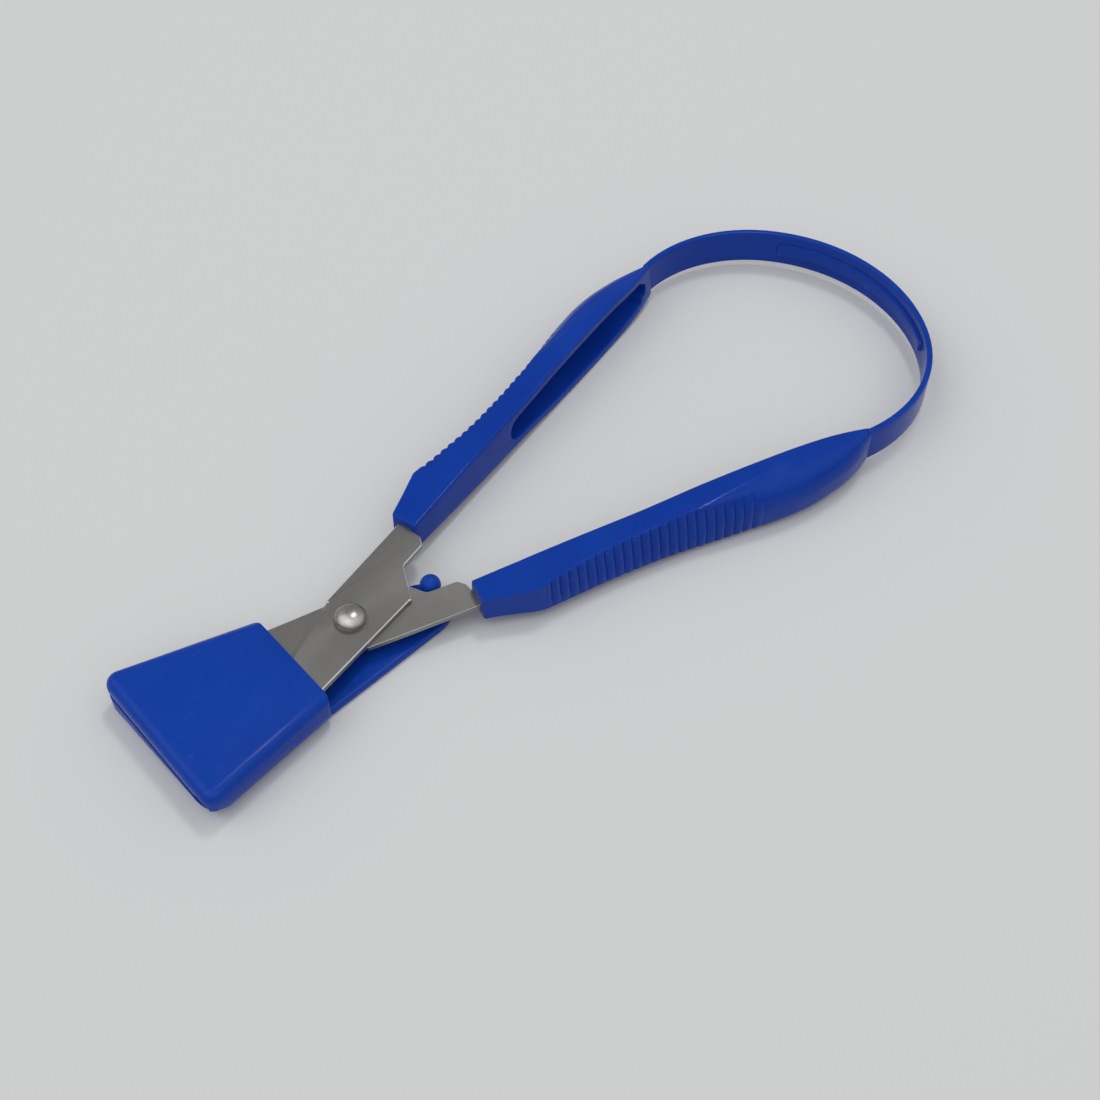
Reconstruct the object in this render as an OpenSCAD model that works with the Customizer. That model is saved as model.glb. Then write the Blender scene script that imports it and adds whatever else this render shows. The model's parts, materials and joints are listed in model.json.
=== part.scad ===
// Self-opening loop-handle scissors lying flat, open, with a blade guard clipped over the blades.
// +X runs from the blade tips towards the handle loop, +Z is up.
// Z = 0 is the surface that the scissors lie on.

/* [Overall] */
// Distance from the pivot to the far end of the loop
loop_reach = 153.8; // [151:0.2:156]
// Height of the plane where the two blades meet, above the table
mid_z = 6.2; // [6.2:0.05:6.6]
// Angle that each half turns from closed to open, in degrees
open_angle = 15.5; // [14.5:0.5:15.5]

/* [Blades] */
// Thickness of each blade plate
blade_t = 1.4; // [1.2:0.1:1.4]
// Distance from the pivot to the centre of the round tip
tip_x = 41.2; // [38:0.2:41.2]
// Radius of the round tip
tip_r = 2.4; // [2:0.1:2.4]
// Half width of the plates across the pivot, on the shank's outer side
shank_w = 6.9; // [6.5:0.1:7]
// Height of the ground bevel along the cutting edge
bevel_h = 0.7; // [0.5:0.1:0.9]
// Width of the ground bevel along the cutting edge
bevel_w = 1.2; // [0.8:0.1:1.6]

/* [Rivet] */
// Radius of the rivet's shank
rivet_r = 2; // [1.6:0.1:2.2]
// Running clearance between the rivet and each blade's hole, on the radius
rivet_gap = 0.05; // [0.02:0.01:0.09]
// Radius of the domed head
head_r = 3.15; // [3:0.05:3.4]
// Height of the domed head at its centre
head_h = 2.6; // [2:0.1:3]
// Height of the head's upright rim
rim_h = 1.2; // [0.8:0.1:1.5]
// Radius of the peened tail
tail_r = 2.8; // [2.5:0.1:3]
// Height of the peened tail
tail_h = 0.8; // [0.5:0.1:1]

/* [Handles] */
// Distance from the pivot to the front face of each handle
handle_x = 25.1; // [25:0.1:25.6]
// Distance of each handle's inner face from the centre line when closed
handle_y = 2.6; // [2.4:0.1:2.8]
// Turn of each handle against its blade, in degrees
handle_toe = -0.5; // [-0.8:0.1:0]
// Number of grip ridges
ridge_count = 22; // [10:1:24]
// Distance from one grip ridge to the next
ridge_pitch = 2.15; // [1.9:0.05:2.15]
// Depth of the valleys between the grip ridges
ridge_depth = 0.4; // [0.2:0.05:0.5]
// Depth of the long recess in the inner face
recess_depth = 6; // [3:0.2:6]

/* [Loop] */
// Thickness of the loop's strap
strap_t = 1.3; // [1.1:0.1:1.4]
// Height of the loop's strap
strap_h = 8.8; // [8:0.2:8.8]
// Outer radius of the loop's two corners
corner_r = 32; // [31.8:0.1:32.2]
// Distance from the pivot to the centre of each corner
corner_x = 120.2; // [120:0.1:120.4]
// Distance of each corner's centre from the centre line
corner_y = 4.5; // [4.3:0.1:4.6]
// Height of the rib on the inside of the loop
rib_h = 3; // [2:0.2:4]
// How far the rib stands in from the strap
rib_t = 0.5; // [0.3:0.1:0.8]

/* [Blade guard] */
// Distance from the pivot to the guard's front end
guard_front = 45.1; // [45.1:0.1:46]
// Distance from the pivot to the guard's rear mouth
guard_rear = 14.5; // [13:0.5:16]
// Height of the guard's top above the blades' meeting plane
guard_top = 2.9; // [2.8:0.1:3.2]
// Thickness of the side walls
guard_wall = 0.9; // [0.8:0.05:0.95]
// Thickness of the bottom plate and of the tongue
plate_t = 1.8; // [1.4:0.1:2]
// Radius of the rounded top edges
edge_r = 2.2; // [1.4:0.1:2.4]
// Radius of the stud's ball
ball_r = 2.2; // [1.8:0.1:2.2]

/* [Hidden] */
$fn = 64;
play = 0.02;
plastic_blue = [0.07, 0.2, 0.6];
steel = [0.6, 0.59, 0.57];

// The pivot sits so that the part's footprint is centred on the origin.
pivot_x = (guard_front - loop_reach) / 2;

// Blade outline, drawn closed with the tip towards -X.
edge_start = [-1.1, shank_w - 0.15];
spine_start = [10.5, -7.3];
notch_foot = [11.6, -6.2];
notch_top = [16.6, -0.6];
shank_corner = [23.2, -0.6];
shank_step = [24.6, 0.9];
shank_end = handle_x - play;
tang_end = handle_x + 17;
tang_low = handle_y + 1;
tang_high = handle_y + 3.8;
tip = [-tip_x, -2];
// The blade's sides run in just under the tip's round, so that the two join cleanly.
tip_touch = tip_r - 0.002;

// Handle sections: distance along the handle, outer side, inner side, height, and how round the
// outer side is below and above its middle (0 square, 1 an ellipse).
sections = [
    [0, 5.9, 0, 6.2, 0.12, 0.12],
    [3.5, 6.6, 0, 6.6, 0.14, 0.16],
    [7, 7.6, 0, 7, 0.17, 0.2],
    [10.5, 8.6, 0, 7.4, 0.2, 0.25],
    [12, 8.85, 0, 7.55, 0.22, 0.3],
    [14, 8.82, 0, 7.8, 0.25, 0.38],
    [20, 8.4, 0, 8.4, 0.28, 0.45],
    [27, 7.9, 0, 8.9, 0.3, 0.5],
    [34, 7.6, 0, 9.3, 0.32, 0.55],
    [40, 7.5, 0, 9.8, 0.35, 0.6],
    [46, 7.6, 0, 10.7, 0.38, 0.68],
    [52, 8, 0, 11.6, 0.42, 0.78],
    [60, 8.6, 0, 12.2, 0.46, 0.9],
    [67, 9.1, 0, 12.4, 0.5, 1],
    [72, 9.2, 0, 12.4, 0.52, 1],
    [77, 8.8, 0, 12.1, 0.52, 1],
    [82, 7.8, 0, 11.4, 0.5, 0.95],
    [86, 6.7, 0.1, 10.6, 0.45, 0.85],
    [90, 5, 0.4, 9.7, 0.4, 0.7],
    [94, 2.6, 0.9, 8.8, 0.3, 0.4]
];
handle_len = 94;
ridge_start = 12;
ring_half = 7;
recess_start = 34.3;
recess_end = 91;
recess_wall = 1.8;
// How far the inner face leans in between its upper and lower edges.
draft = 0.7;

// Guard outline corners.
guard_left_rear = 11.9;
guard_left_front = 20.6;
guard_right_rear = -13.3;
guard_right_front = -17.3;
front_wall = 1.1;
roof = 1.2;
slot_top = -0.2;
slot_low = -2.1;
hook_y = -14.2;
hook_z = -2.1;
hook_r = 2;
// Radius of the guard's corners in plan, and how far their centres stand in from the side lines.
corner_plan_r = 2.7;
left_front_in = 3.3;
right_front_in = 3;
left_rear_in = 2.15;
right_rear_in = 2.45;
// The outer shape is drawn this far past the mouth and then cut off.
over = 3;
// Radius of the bottom edge on the left, and of the half-round fold along the right.
left_low_r = 0.45;
fold_r = 4.5;
// The pocket is narrower beside the fold up to this height.
fold_step = 3;
fold_step_z = -2;
fold_w = 3;
nose = [14.5, -3.4];
nose_r = 6.4;
tongue_left = 10.8;
tongue_right = -11.5;
ball = [18.5, -1.85];
ball_z = -1.4;
stem_r = 1.4;
plate_top = plate_t - mid_z;

// Point where a line from p touches a circle of radius r about c.
function touch(p, c, r, side) =
    let (d = c - p, l = norm(d), a = atan2(d[1], d[0]) + side * asin(r / l))
    p + sqrt(l * l - r * r) * [cos(a), sin(a)];

// Smooth curve through column k of the handle sections.
function slope(i, k) =
    let (a = max(i - 1, 0), b = min(i + 1, len(sections) - 1))
    (sections[b][k] - sections[a][k]) / (sections[b][0] - sections[a][0]);
function span(s, i = 0) = i >= len(sections) - 2 || s < sections[i + 1][0] ? i : span(s, i + 1);
function blend_at(s, k) =
    let (i = span(s), a = sections[i], b = sections[i + 1], w = b[0] - a[0], u = (s - a[0]) / w)
    (2 * pow(u, 3) - 3 * u * u + 1) * a[k] + (pow(u, 3) - 2 * u * u + u) * w * slope(i, k)
    + (3 * u * u - 2 * pow(u, 3)) * b[k] + (pow(u, 3) - u * u) * w * slope(i + 1, k);

// How far the outer side is cut back at s: nothing on a ridge's crest, most in a valley.
function ridge_cut(s) =
    let (n = (s - ridge_start) / ridge_pitch)
    n <= 0 || n >= ridge_count ? 0 : ridge_depth * abs(cos(180 * n));

// One closed ring of points round the handle at s, flat on the inner side.
function ring(s) =
    let (o = blend_at(s, 1) - ridge_cut(s), n = blend_at(s, 2), h = blend_at(s, 3) / 2,
         low = blend_at(s, 4), high = blend_at(s, 5), c = n + 0.4 * (o - n))
    concat([[s, n, h - 0.4], [s, n + 0.4, h]],
           [for (i = [-ring_half:ring_half])
               let (a = -i * 90 / ring_half, q = i > 0 ? low : high)
               [s, c + (o - c) * pow(abs(cos(a)), q), h * sign(sin(a)) * pow(abs(sin(a)), q)]],
           [[s, n + 0.4 - draft, -h], [s, n - draft, 0.4 - h]]);

// Positions of the rings: the plain stretches and two to a ridge where the grip is.
ridge_end = ridge_start + ridge_count * ridge_pitch;
ring_at = concat(
    [0, 3.5, 7, 9, 10.5],
    [for (i = [0:2 * ridge_count]) ridge_start + i * ridge_pitch / 2],
    [for (i = [1:13]) ridge_end + i * (handle_len - ridge_end) / 13]);

module place() {
    translate([pivot_x, 0, mid_z]) children();
}

// Turns a half that is drawn closed into its open position; side is 1 for upper, -1 for lower.
module opened(side) {
    place() mirror([0, side > 0 ? 0 : 1, 0]) rotate([0, 0, open_angle]) children();
}

module blade_outline() {
    difference() {
        union() {
            polygon([edge_start, touch(edge_start, tip, tip_touch, -1), tip,
                     touch(spine_start, tip, tip_touch, 1), spine_start, notch_foot, notch_top,
                     shank_corner, shank_step, [shank_end, handle_y + 0.5],
                     [shank_end, shank_w], [edge_start[0] + 1, shank_w]]);
            translate(tip) circle(r = tip_r);
            translate([shank_end - 1, tang_low]) square([tang_end - shank_end + 1, tang_high - tang_low]);
        }
        circle(r = rivet_r + rivet_gap);
    }
}

// Wedge that grinds the bevel along the cutting edge, on the face away from the other blade.
module bevel() {
    edge = touch(edge_start, tip, tip_r, -1) - edge_start;
    over = 1 + 1 / bevel_h;
    translate([edge_start[0], edge_start[1], blade_t - bevel_h])
        rotate([0, 0, atan2(edge[1], edge[0])]) rotate([90, 0, 90]) linear_extrude(norm(edge) + tip_r)
            polygon([[-0.01, 0], [bevel_w * over, bevel_h * over], [-0.01, bevel_h * over]]);
}

module blade() {
    difference() {
        translate([0, 0, play / 2]) linear_extrude(blade_t - play / 2) blade_outline();
        bevel();
    }
}

module upper_blade() {
    color(steel) opened(1) blade();
}

module lower_blade() {
    color(steel) opened(-1) mirror([0, 0, 1]) blade();
}

// Shank through both blades, a domed head with an upright rim on top and a peened tail below.
module pivot_rivet() {
    face = blade_t + play;
    dome_h = head_h - rim_h;
    dome_r = (head_r * head_r + dome_h * dome_h) / (2 * dome_h);
    color("silver") place() {
        cylinder(r = rivet_r, h = 2 * face + 0.4, center = true);
        translate([0, 0, face]) cylinder(r = head_r, h = rim_h);
        intersection() {
            translate([0, 0, face + head_h - dome_r]) sphere(r = dome_r);
            translate([0, 0, face + rim_h - 0.1]) cylinder(r = head_r, h = head_h);
        }
        translate([0, 0, -face - tail_h]) cylinder(r1 = tail_r - 0.5, r2 = tail_r, h = tail_h);
    }
}

// Solid skin through the handle's rings.
module handle_skin() {
    n = len(ring(0));
    m = len(ring_at);
    polyhedron(
        points = [for (s = ring_at) each ring(s)],
        faces = concat(
            [[for (i = [0:n - 1]) n - 1 - i]],
            [for (j = [0:m - 2], i = [0:n - 1])
                [j * n + i, j * n + (i + 1) % n, (j + 1) * n + (i + 1) % n]],
            [for (j = [0:m - 2], i = [0:n - 1])
                [j * n + i, (j + 1) * n + (i + 1) % n, (j + 1) * n + i]],
            [[for (i = [0:n - 1]) (m - 1) * n + i]]));
}

// Long recess in the inner face: a wall of even height above and below it, both ends round.
module recess() {
    front = [recess_start + 2.8, 2.8];
    back = [recess_end - 2.3, 2.3];
    steps = [for (s = [front[0] + 3:4:back[0] - 3]) [s, blend_at(s, 3) / 2 - recess_wall]];
    intersection() {
        rotate([90, 0, 0]) linear_extrude(20, center = true) union() {
            translate([front[0], 0]) circle(r = front[1]);
            translate([back[0], 0]) circle(r = back[1]);
            polygon(concat([front], steps, [back],
                           [[back[0], -back[1]]],
                           [for (i = [len(steps) - 1:-1:0]) [steps[i][0], -steps[i][1]]],
                           [[front[0], -front[1]]]));
        }
        linear_extrude(20, center = true)
            polygon([[recess_start - 1, -2], [recess_start - 1, recess_depth - 1],
                     [65, recess_depth], [80, recess_depth - 0.6], [recess_end + 1, 2],
                     [recess_end + 1, -2]]);
    }
}

// One handle, drawn closed, with the slot that holds its blade's tang.
module handle(side) {
    difference() {
        translate([handle_x, handle_y, 0]) rotate([0, 0, handle_toe]) difference() {
            handle_skin();
            recess();
        }
        mirror([0, 0, side > 0 ? 0 : 1]) translate([handle_x - 1, tang_low - play, -play / 2])
            cube([tang_end - handle_x + 1 + play, tang_high - tang_low + 2 * play, blade_t + play]);
    }
}

module upper_handle() {
    color(plastic_blue) opened(1) handle(1);
}

module lower_handle() {
    color(plastic_blue) opened(-1) handle(-1);
}

// The loop is three arcs: two corners and a far arc that meets them without a kink.
strap_dir = open_angle + handle_toe;
reach_gap = corner_x - (loop_reach - corner_r);
far_r = corner_r - (reach_gap * reach_gap + corner_y * corner_y) / (2 * reach_gap);
far_x = loop_reach - far_r;
far_half = atan2(corner_y, corner_x - far_x);
rib_half = far_half - 2;
// The far arc laps over the corners a little, and is thicker by the seam on each face.
lap = 0.5;
seam = 0.03;

module band(r, from, to, t, h) {
    rotate([0, 0, from]) rotate_extrude(angle = to - from, $fn = 180)
        translate([r - t, -h / 2]) square([t, h]);
}

// One corner of the loop, cut off square where its handle ends.
module strap_corner(side) {
    difference() {
        place() mirror([0, side > 0 ? 0 : 1, 0]) translate([corner_x, corner_y, 0])
            band(corner_r, far_half, 92 + strap_dir, strap_t, strap_h);
        opened(side) translate([handle_x, handle_y, 0]) rotate([0, 0, handle_toe])
            translate([handle_len - 20 + play, -10, -10]) cube([20, 30, 20]);
    }
}

module loop_strap() {
    color(plastic_blue) union() {
        strap_corner(1);
        strap_corner(-1);
        place() translate([far_x, 0, 0]) {
            band(far_r + seam, -far_half - lap, far_half + lap, strap_t + 2 * seam, strap_h);
            band(far_r - strap_t + 0.1, -rib_half, rib_half, rib_t + 0.1, rib_h);
        }
    }
}

// How far the side lines spread for each millimetre towards the front.
slope_l = (guard_left_front - guard_left_rear) / (guard_front - guard_rear);
slope_r = (guard_right_front - guard_right_rear) / (guard_front - guard_rear);

// One corner of the guard's outer shape from a height above the table, with rounded edges.
module corner_post(x, y, low, low_r) {
    h = mid_z + guard_top;
    r = corner_plan_r;
    translate([x, y, -mid_z]) rotate_extrude($fn = 32) intersection() {
        hull() {
            translate([0, low]) square([0.01, h - low]);
            translate([r - edge_r, h - edge_r]) circle(r = edge_r, $fn = 32);
            translate([r - low_r, low + low_r]) circle(r = low_r, $fn = 24);
        }
        square([r, h]);
    }
}

// One end of the half-round fold along the right side.
module fold_end(x) {
    side = guard_right_rear + slope_r * (-x - guard_rear);
    translate([x, side + fold_r, fold_r - mid_z]) sphere(r = fold_r, $fn = 40);
}

// The guard's plan outline drawn in by inset at the sides and front, open-ended at the rear.
module pocket_outline(left_in, right_in, front, rear) {
    polygon([
        [-front, guard_left_rear - left_in + slope_l * (front - guard_rear)],
        [-front, guard_right_rear + right_in + slope_r * (front - guard_rear)],
        [-rear, guard_right_rear + right_in + slope_r * (rear - guard_rear)],
        [-rear, guard_left_rear - left_in + slope_l * (rear - guard_rear)]]);
}

module guard_sleeve() {
    r = corner_plan_r;
    color(plastic_blue) place() difference() {
        hull() {
            corner_post(r - guard_front, guard_left_front - left_front_in, 0, left_low_r);
            corner_post(r - guard_front, guard_right_front + right_front_in, fold_r, 0.01);
            corner_post(over - guard_rear - r, guard_left_rear - left_rear_in - slope_l * over,
                        0, left_low_r);
            corner_post(over - guard_rear - r, guard_right_rear + right_rear_in - slope_r * over,
                        fold_r, 0.01);
            fold_end(fold_r - guard_front);
            fold_end(over - guard_rear - fold_r);
        }
        // Square mouth
        translate([-guard_rear, -30, -mid_z - 1]) cube([over + 1, 60, mid_z + guard_top + 2]);
        // Pocket for both blades, open at the rear, narrower low down beside the fold
        translate([0, 0, plate_top]) linear_extrude(fold_step_z + 0.01 - plate_top)
            pocket_outline(guard_wall, fold_step, guard_front - front_wall, guard_rear - 1);
        translate([0, 0, fold_step_z]) linear_extrude(guard_top - roof - fold_step_z)
            pocket_outline(guard_wall, guard_wall, guard_front - front_wall, guard_rear - 1);
        // Slot round the front wall and the left wall, which leaves the fold on the right
        translate([0, 0, slot_low]) linear_extrude(slot_top - slot_low)
            polygon([[-guard_front - 1, guard_right_front + fold_w], [-guard_front - 1, 30],
                     [1 - guard_rear, 30], [1 - guard_rear, guard_right_rear + fold_w]]);
        // Round hole that the slot's right end opens into
        translate([-guard_front + front_wall + 1, hook_y, hook_z])
            rotate([0, -90, 0]) cylinder(r = hook_r, h = front_wall + 3);
    }
}

module guard_tongue() {
    left = [-guard_rear + play, tongue_left];
    right = [-guard_rear + play, tongue_right];
    color(plastic_blue) place() {
        translate([0, 0, -mid_z]) linear_extrude(plate_t) union() {
            polygon([left, right, touch(right, nose, nose_r, -1), nose, touch(left, nose, nose_r, 1)]);
            translate(nose) circle(r = nose_r);
        }
        translate([ball[0], ball[1], plate_top - 0.2]) cylinder(r = stem_r, h = ball_z - plate_top);
        translate([ball[0], ball[1], ball_z]) sphere(r = ball_r);
    }
}

upper_blade();
lower_blade();
pivot_rivet();
upper_handle();
lower_handle();
loop_strap();
guard_sleeve();
guard_tongue();
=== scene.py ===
import json
import math
import bmesh
import bpy
import numpy as np
from mathutils import Matrix, Vector


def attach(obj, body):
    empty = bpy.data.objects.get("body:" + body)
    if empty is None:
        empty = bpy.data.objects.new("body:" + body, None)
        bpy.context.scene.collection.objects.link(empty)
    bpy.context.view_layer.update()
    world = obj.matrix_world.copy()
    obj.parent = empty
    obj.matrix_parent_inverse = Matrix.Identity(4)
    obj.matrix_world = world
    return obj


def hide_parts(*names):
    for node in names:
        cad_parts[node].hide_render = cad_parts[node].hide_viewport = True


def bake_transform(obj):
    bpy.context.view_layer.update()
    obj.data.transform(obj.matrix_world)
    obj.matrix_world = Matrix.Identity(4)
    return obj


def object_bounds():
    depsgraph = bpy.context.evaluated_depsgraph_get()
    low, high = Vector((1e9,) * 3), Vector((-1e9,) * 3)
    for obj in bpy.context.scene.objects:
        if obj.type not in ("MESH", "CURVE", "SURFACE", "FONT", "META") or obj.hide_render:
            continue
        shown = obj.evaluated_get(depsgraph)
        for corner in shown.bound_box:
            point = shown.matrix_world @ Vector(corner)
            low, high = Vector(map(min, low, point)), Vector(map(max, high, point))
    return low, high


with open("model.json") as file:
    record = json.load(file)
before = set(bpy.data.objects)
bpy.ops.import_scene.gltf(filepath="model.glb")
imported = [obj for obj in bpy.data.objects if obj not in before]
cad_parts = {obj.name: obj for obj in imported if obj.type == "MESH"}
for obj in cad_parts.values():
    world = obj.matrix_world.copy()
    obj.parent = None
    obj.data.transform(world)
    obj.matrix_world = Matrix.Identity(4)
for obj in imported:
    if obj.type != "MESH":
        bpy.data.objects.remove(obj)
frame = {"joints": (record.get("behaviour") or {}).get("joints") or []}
cad_low, cad_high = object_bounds()

# Scissors that a loop of plastic springs open, with a guard on their blades. Detailed pieces replace the
# frame's CAD nodes and ride on its bodies: the pivot, the two halves and the guard.

# ---- Measures
# Millimetres from the pivot, with the blades along -X, as in the CAD. Each half is drawn closed, as the
# upper one, and then opened. The lower half is its mirror image.
MM = 0.001
JOINTS = {joint["name"]: joint for joint in frame["joints"]}
PIVOT = np.array(JOINTS["close_upper"]["pos_m"], float)
OPEN = math.radians(JOINTS["close_upper"]["range_deg"][1])
TABLE_Z = -PIVOT[2] / MM
UPPER, LOWER = 1, -1

# Blade: thickness, the small chamfer round it, the ground bevel's width and height, and its outline. The
# shank's inner side has corners of (x, y, cut), and the tang's sides are measured from the handle's face.
BLADE_T = 1.4
CHAMFER = 0.2
BEVEL_W = 1.25
BEVEL_H = 0.7
TIP = np.array([-41.2, -2.0])
TIP_R = 2.4
EDGE_START = np.array([-1.1, 6.75])
SPINE_START = np.array([10.5, -7.3])
SHANK_W = 6.9
SHANK_SIDE = [(11.6, -6.2, 0.4), (16.6, -0.6, 0.8), (23.2, -0.6, 0.5), (24.6, 0.9, 0.4)]
TANG_LEN = 17.0
TANG_SIDES = (1.0, 3.8)

# Handle: where its front inner corner is, how its inner face turns from the closed half, its length,
# and the radii along its inner and its upper outer edge.
HANDLE = np.array([25.1, 2.6])
TOE = math.radians(-0.5)
HANDLE_LEN = 94.0
INNER_ROUND = 0.4
EDGE_ROUND = 0.22
# Sections: distance along, outer side, inner side, height, how round the lower edge is.
SECTIONS = np.array([
    [0, 5.95, 0, 6.2, 0.12], [3.5, 6.65, 0, 6.6, 0.13], [7, 7.6, 0, 7, 0.14],
    [10.6, 8.62, 0, 7.35, 0.15], [12, 8.85, 0, 7.55, 0.17], [14, 8.82, 0, 7.8, 0.2],
    [20, 8.4, 0, 8.4, 0.25], [27, 7.95, 0, 8.9, 0.3], [34, 7.65, 0, 9.3, 0.32],
    [40, 7.55, 0, 9.8, 0.35], [46, 7.65, 0, 10.7, 0.38], [52, 8, 0, 11.6, 0.42],
    [60, 8.6, 0, 12.2, 0.46], [67, 9.1, 0, 12.4, 0.5], [72, 9.2, 0, 12.4, 0.52],
    [77, 8.8, 0, 12.1, 0.52], [82, 7.8, 0, 11.4, 0.5], [86, 6.7, 0.1, 10.6, 0.45],
    [90, 5, 0.4, 9.7, 0.4], [94, 2.6, 0.9, 8.8, 0.3]])
# Upper outer edge: distance along, distance out.
EDGE = np.array([[0, 5.8], [5.3, 7.1], [11.0, 8.62], [12.2, 8.5], [14, 8.15], [16, 7.7],
                 [21.5, 6.95], [26, 6.3], [31, 5.95], [35.4, 5.85], [40, 5.75], [46, 5.75],
                 [50, 5.55], [57, 4.6], [65, 3.7], [77, 1.35], [86, 0.6], [94, 1.3]])
# Second crease on the rear part: distance along, distance out, depth below the top.
BAND = np.array([[49, 5.75, 0.05], [53, 6.0, 0.3], [58.6, 6.0, 0.62], [68.5, 5.75, 0.66],
                 [79.2, 4.9, 0.5], [86, 3.6, 0.45], [94, 2.0, 0.35]])
# From here on the ridges stop below the crease and the sides grow rounder.
REAR_START = 46.0
RIDGES = 25
RIDGE_START = 12.0
RIDGE_PITCH = 2.15
RIDGE_DEPTH = 0.6
RECESS_START = 34.3
RECESS_END = 91.0
RECESS_WALL = 1.8
RECESS_FRONT_R = 2.8
RECESS_BACK_R = 2.3
# Depth of the recess: distance along, depth.
RECESS_DEPTH = np.array([[32, 5.0], [65, 6.2], [80, 5.5], [92, 2.0]])
# How much further the inner face stands out at its lower edge than at its upper one.
DRAFT = 0.75

# Strap: thickness, height, edge radius, how far it starts inside the grip, the arc that leaves the grip,
# the loop's far end, and how far the loop leans to one side.
STRAP_T = 1.3
STRAP_H = 8.8
STRAP_ROUND = 0.32
STRAP_INSIDE = 0.8
CORNER = np.array([120.2, 4.5])
CORNER_R = 32.0
REACH = 153.8
STRAP_LEAN = 0.8
# Rib on the strap's inner face: thickness, half its height, and where it starts and how fast it rises,
# in degrees past the place where the strap's two arcs meet.
RIB_T = 0.72
RIB_HALF = 1.5
RIB_START_DEG = 2.0
RIB_RISE_DEG = math.degrees(1.5 / 39)

# Guard: how far its front and its mouth lie ahead of the pivot, and its left and right corners there.
GUARD_FRONT = 45.1
GUARD_REAR = 14.5
FRONT_LEFT, FRONT_RIGHT = 20.6, -17.3
REAR_LEFT, REAR_RIGHT = 11.9, -13.3
LEFT_SLOPE = (FRONT_LEFT - REAR_LEFT) / (GUARD_FRONT - GUARD_REAR)
RIGHT_SLOPE = (REAR_RIGHT - FRONT_RIGHT) / (GUARD_FRONT - GUARD_REAR)
GUARD_TOP = 2.9
GUARD_CORNER_R = 2.7
TOP_ROUND = 2.2
LOW_ROUND = 0.45
FOLD_R = 4.5
SIDE_WALL = 0.9
FRONT_WALL = 1.1
ROOF = 1.2
# Below FOLD_TOP the fold is solid for FOLD_SOLID in from the right side.
FOLD_TOP = -2.0
FOLD_SOLID = 3.0
PLATE_TOP = TABLE_Z + 1.8
# The slot runs along the front and round the left side, and a round hole ends it at the right.
SLOT_TOP = -0.2
SLOT_LOW = -2.1
SLOT_LEFT = 9.0
HOLE = np.array([-13.7, -1.5])
HOLE_R = 2.2
HOLE_DEPTH = 3.0
# Tongue: its round end as (x, y, radius), and its left and right sides at the mouth and inside the sleeve.
TONGUE_END = (14.5, -3.4, 6.4)
TONGUE_MOUTH = (10.8, -11.5)
TONGUE_ROOT = (11.6, -11.0)
# Stud: its place, and its ball's radius and height.
STUD = (18.5, -1.85)
BALL_R = 2.2
BALL_Z = -1.4
# Bevel along all the guard's sharp edges.
SOFTEN = 0.16
# Cutters reach this far past what they cut.
PAST = 1.0


# ---- Mesh helpers

def placed(points, side=0):
    """Millimetres from the pivot to metres in the frame. A side opens that half first."""
    p = np.array(points, float).reshape(-1, 3)
    if side:
        c, s = math.cos(OPEN), math.sin(OPEN)
        turned = [c * p[:, 0] - s * p[:, 1], side * (s * p[:, 0] + c * p[:, 1]), p[:, 2]]
        p = np.stack(turned, axis=1)
    return PIVOT + p * MM


def solid(name, points, faces, material, crease=32):
    """A closed mesh object with outward normals, smooth except where it turns sharply."""
    mesh = bpy.data.meshes.new(name)
    mesh.from_pydata([tuple(p) for p in points], [], faces)
    edit = bmesh.new()
    edit.from_mesh(mesh)
    bmesh.ops.remove_doubles(edit, verts=edit.verts, dist=1e-7)
    bmesh.ops.recalc_face_normals(edit, faces=edit.faces)
    edit.to_mesh(mesh)
    edit.free()
    made = bpy.data.objects.new(name, mesh)
    bpy.context.scene.collection.objects.link(made)
    finish_mesh(made, material, crease)
    return made


def finish_mesh(made, material, crease=32):
    """Gives a mesh its material and smooth shading, sharp where it turns by more than crease."""
    mesh = made.data
    mesh.materials.clear()
    mesh.materials.append(material)
    mesh.shade_smooth()
    mesh.set_sharp_from_angle(angle=math.radians(crease))


def skin(rings):
    """Faces round and between rings of one length, with a cap at each end."""
    m, n = len(rings), len(rings[0])
    faces = []
    for j in range(m - 1):
        for i in range(n):
            k = (i + 1) % n
            faces.append([j * n + i, j * n + k, (j + 1) * n + k, (j + 1) * n + i])
    faces.append(list(range(n))[::-1])
    faces.append([(m - 1) * n + i for i in range(n)])
    return np.concatenate([np.array(r, float) for r in rings]), faces


def lathe(profile, centre, steps):
    """Points and faces of a profile of (radius, height) turned about a vertical axis."""
    turn = np.linspace(0, 2 * math.pi, steps, endpoint=False)
    rings = []
    for radius, height in profile:
        ring = [centre[0] + radius * np.cos(turn), centre[1] + radius * np.sin(turn)]
        rings.append(np.stack(ring + [np.full(steps, float(height))], axis=1))
    return skin(rings)


def arc(centre, radius, start, end, steps):
    """Points of an arc in the plane, angles in degrees."""
    turn = np.radians(np.linspace(start, end, steps))
    return np.stack([centre[0] + radius * np.cos(turn), centre[1] + radius * np.sin(turn)], axis=1)


def rounded(corners, steps=6):
    """Closed outline through corners of (x, y, cut): each corner is a curve that starts cut away."""
    points = []
    n = len(corners)
    for i, (x, y, cut) in enumerate(corners):
        here = np.array([x, y])
        if cut <= 0:
            points.append(here)
            continue
        before = np.array(corners[i - 1][:2]) - here
        after = np.array(corners[(i + 1) % n][:2]) - here
        a = here + before / np.linalg.norm(before) * cut
        b = here + after / np.linalg.norm(after) * cut
        for u in np.linspace(0, 1, steps):
            points.append((1 - u) ** 2 * a + 2 * u * (1 - u) * here + u * u * b)
    return np.array(points)


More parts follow.
